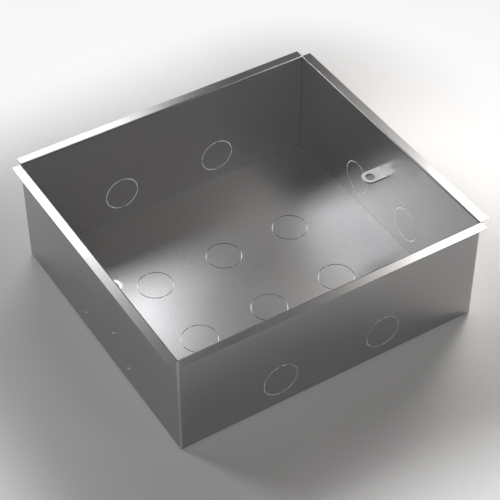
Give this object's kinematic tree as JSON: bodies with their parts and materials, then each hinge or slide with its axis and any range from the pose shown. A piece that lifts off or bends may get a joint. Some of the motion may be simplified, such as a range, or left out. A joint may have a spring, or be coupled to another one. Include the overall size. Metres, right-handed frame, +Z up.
{
  "type": "floor box",
  "caption": "Open steel floor box: a folded tray with outward flanges round its mouth, ringed conduit knockouts in floor and walls, and an earthing lug inside each end wall.",
  "frame": {"origin": "middle of the underside of the tray", "axes": "+X along the front and back walls, towards the right end wall; +Y towards the back wall; +Z up, out of the open mouth"},
  "size_m": [0.2426, 0.2256, 0.084],
  "materials": {
    "steel": "satin, fine grain"
  },
  "bodies": {
    "root": {"tray": "steel", "earth_lug_left": "steel", "earth_lug_right": "steel"}
  },
  "joints": []
}
